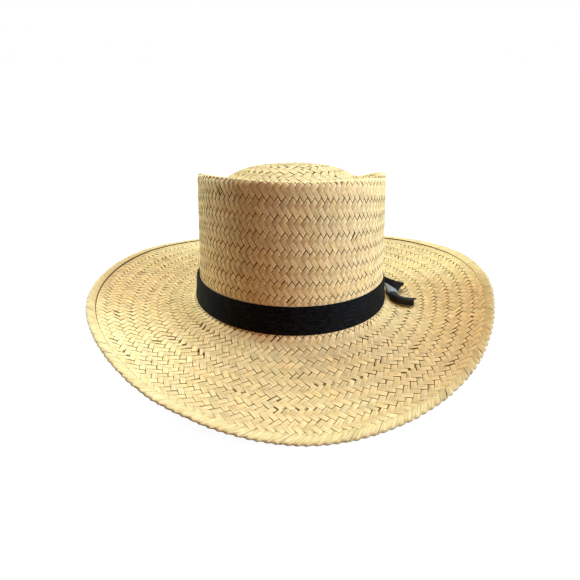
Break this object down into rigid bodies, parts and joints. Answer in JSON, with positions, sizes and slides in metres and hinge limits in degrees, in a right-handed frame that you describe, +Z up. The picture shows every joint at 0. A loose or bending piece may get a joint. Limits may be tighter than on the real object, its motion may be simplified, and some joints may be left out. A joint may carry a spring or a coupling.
{
  "type": "gambler hat",
  "caption": "Woven palm straw hat with a flat-rimmed telescope crown, a wide brim rolled up at the sides and a black ribbon band tied at one side.",
  "frame": {"origin": "middle of the foot of the hat's box, on the table it rests on", "axes": "+Z up from the table, -Y to the front of the hat, +X to the wearer's left, where the ribbon is tied"},
  "size_m": [0.3606, 0.3898, 0.137],
  "materials": {
    "straw": "woven palm leaf strips, natural cream to tan, with a slight sheen",
    "ribbon": "black ribbed ribbon, matt"
  },
  "bodies": {
    "root": {"straw_body": "straw", "hat_band": "ribbon", "band_knot": "ribbon", "tail_upper": "ribbon", "tail_lower": "ribbon"}
  },
  "joints": []
}
